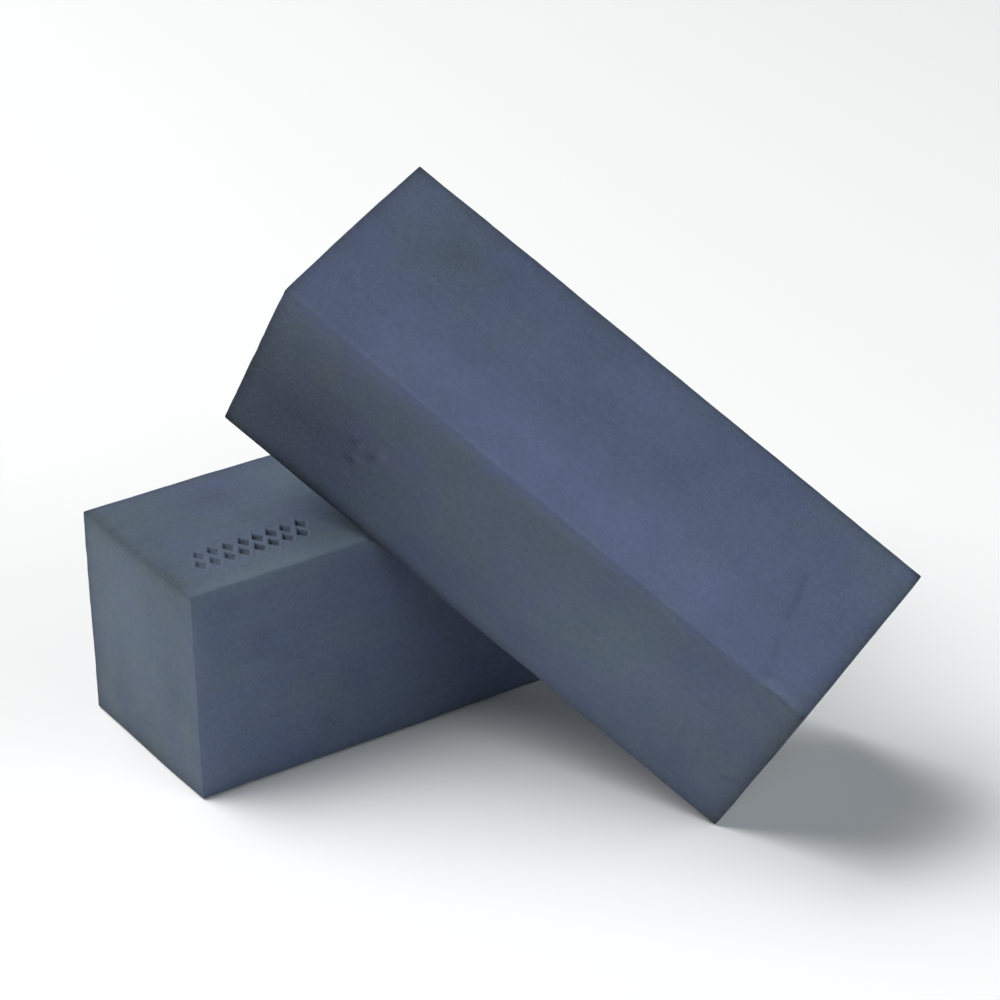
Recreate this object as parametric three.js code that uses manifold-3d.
// Two bars of detailing clay, the putty that lifts grit out of car paint.
// One bar lies flat. The second, of the same size, leans across its front edge with one corner on the table.
//
// The origin is the centre of the flat bar's underside. +X runs along that bar, +Y across it
// towards its back, and +Z is up. All lengths are in millimetres.

import * as THREE from "three";
import { RoundedBoxGeometry } from "three/addons/geometries/RoundedBoxGeometry.js";
import { mergeVertices } from "three/addons/utils/BufferGeometryUtils.js";
import Module from "manifold-3d";

const wasm = await Module();
wasm.setup();

// The bar of clay, as it is cut from an extruded strip.
const BAR_LENGTH = 100;
const BAR_WIDTH = 35.5;
const BAR_HEIGHT = 36.5;
const EDGE_RADIUS = 0.8;
const EDGE_SEGMENTS = 3;

// The stamp pressed into the bar's top near one end: two rows of lozenges, the far row half a pitch along.
const STAMP_DEPTH = 0.8;
const STAMP_FROM_END = 16.4;
const STAMP_FROM_FRONT = 9.7;
const ROW_SPACING = 2.8;
const LOZENGES_IN_ROW = 8;
const LOZENGE_PITCH = 2.6;
const LOZENGE_WIDTH = 2;
const LOZENGE_HEIGHT = 3.3;

// How the second bar leans: which way its length points, how steeply it climbs, how far it is
// rolled over on its lower long edge, and where its bottom corner stands along the flat bar.
const LEAN_HEADING = THREE.MathUtils.degToRad(119.5);
const LEAN_CLIMB = THREE.MathUtils.degToRad(31.9);
const LEAN_ROLL = THREE.MathUtils.degToRad(16.3);
const LEAN_FOOT_X = 11.4;
const CONTACT_GAP = 0.3;

const clay = new THREE.MeshStandardMaterial({ color: 0x5b6678, roughness: 0.8, metalness: 0 });

function solidFrom(geometry) {
  const bare = geometry.clone();
  bare.deleteAttribute("normal");
  bare.deleteAttribute("uv");
  const merged = mergeVertices(bare, 1e-4);
  return new wasm.Manifold(
    new wasm.Mesh({
      numProp: 3,
      vertProperties: merged.attributes.position.array,
      triVerts: new Uint32Array(merged.index.array),
    }),
  );
}

function geometryFrom(solid) {
  const { vertProperties, triVerts } = solid.getMesh();
  const geometry = new THREE.BufferGeometry();
  geometry.setAttribute("position", new THREE.BufferAttribute(vertProperties, 3));
  geometry.setIndex(new THREE.BufferAttribute(triVerts, 1));
  geometry.computeVertexNormals();
  return geometry;
}

function lozenge() {
  const outline = new THREE.Shape();
  outline.moveTo(LOZENGE_WIDTH / 2, 0);
  outline.lineTo(0, LOZENGE_HEIGHT / 2);
  outline.lineTo(-LOZENGE_WIDTH / 2, 0);
  outline.lineTo(0, -LOZENGE_HEIGHT / 2);
  return outline;
}

// The punches that leave the stamp: one prism for each lozenge, reaching STAMP_DEPTH below the top face.
function stampPunches() {
  const stampX = -BAR_LENGTH / 2 + STAMP_FROM_END;
  const stampY = -BAR_WIDTH / 2 + STAMP_FROM_FRONT;
  const punches = [];
  for (const row of [-0.5, 0.5]) {
    for (let i = 0; i < LOZENGES_IN_ROW; i++) {
      const x = stampX + (i - (LOZENGES_IN_ROW - 1) / 2 + row / 2) * LOZENGE_PITCH;
      const y = stampY + row * ROW_SPACING;
      const prism = new THREE.ExtrudeGeometry(lozenge(), { depth: 2 * STAMP_DEPTH, bevelEnabled: false });
      prism.translate(x, y, BAR_HEIGHT / 2 - STAMP_DEPTH);
      punches.push(solidFrom(prism));
    }
  }
  return punches;
}

// One bar about its own centre, with its length along X and the stamp in its +Z face.
function barGeometry() {
  const block = new RoundedBoxGeometry(BAR_LENGTH, BAR_WIDTH, BAR_HEIGHT, EDGE_SEGMENTS, EDGE_RADIUS);
  const stamped = stampPunches().reduce((solid, punch) => solid.subtract(punch), solidFrom(block));
  return geometryFrom(stamped);
}

function makeBar(name) {
  const bar = new THREE.Mesh(barGeometry(), clay);
  bar.name = name;
  return bar;
}

// The leaning bar is turned over, so its stamp faces the table. Its bottom corner touches the table,
// and its lower long edge crosses the flat bar's front top edge with CONTACT_GAP between the two.
function placeLeaningBar(bar) {
  bar.rotation.set(Math.PI - LEAN_ROLL, -LEAN_CLIMB, LEAN_HEADING, "ZYX");
  const along = new THREE.Vector3(1, 0, 0).applyEuler(bar.rotation);
  const steepness = Math.hypot(along.y, along.z);
  const edgeToEdge = 2 * EDGE_RADIUS + CONTACT_GAP;
  const rise = BAR_HEIGHT - 2 * EDGE_RADIUS;
  const footToEdge = (edgeToEdge * steepness + rise * along.y) / along.z;
  const foot = new THREE.Vector3(
    LEAN_FOOT_X,
    -BAR_WIDTH / 2 + EDGE_RADIUS - footToEdge,
    EDGE_RADIUS,
  );
  const footInBar = new THREE.Vector3(
    -BAR_LENGTH / 2 + EDGE_RADIUS,
    -BAR_WIDTH / 2 + EDGE_RADIUS,
    BAR_HEIGHT / 2 - EDGE_RADIUS,
  );
  bar.position.copy(foot.sub(footInBar.applyEuler(bar.rotation)));
}

const lowerBar = makeBar("lower_bar");
lowerBar.position.z = BAR_HEIGHT / 2;

const leaningBar = makeBar("leaning_bar");
placeLeaningBar(leaningBar);

const group = new THREE.Group();
group.add(lowerBar, leaningBar);

export default group;
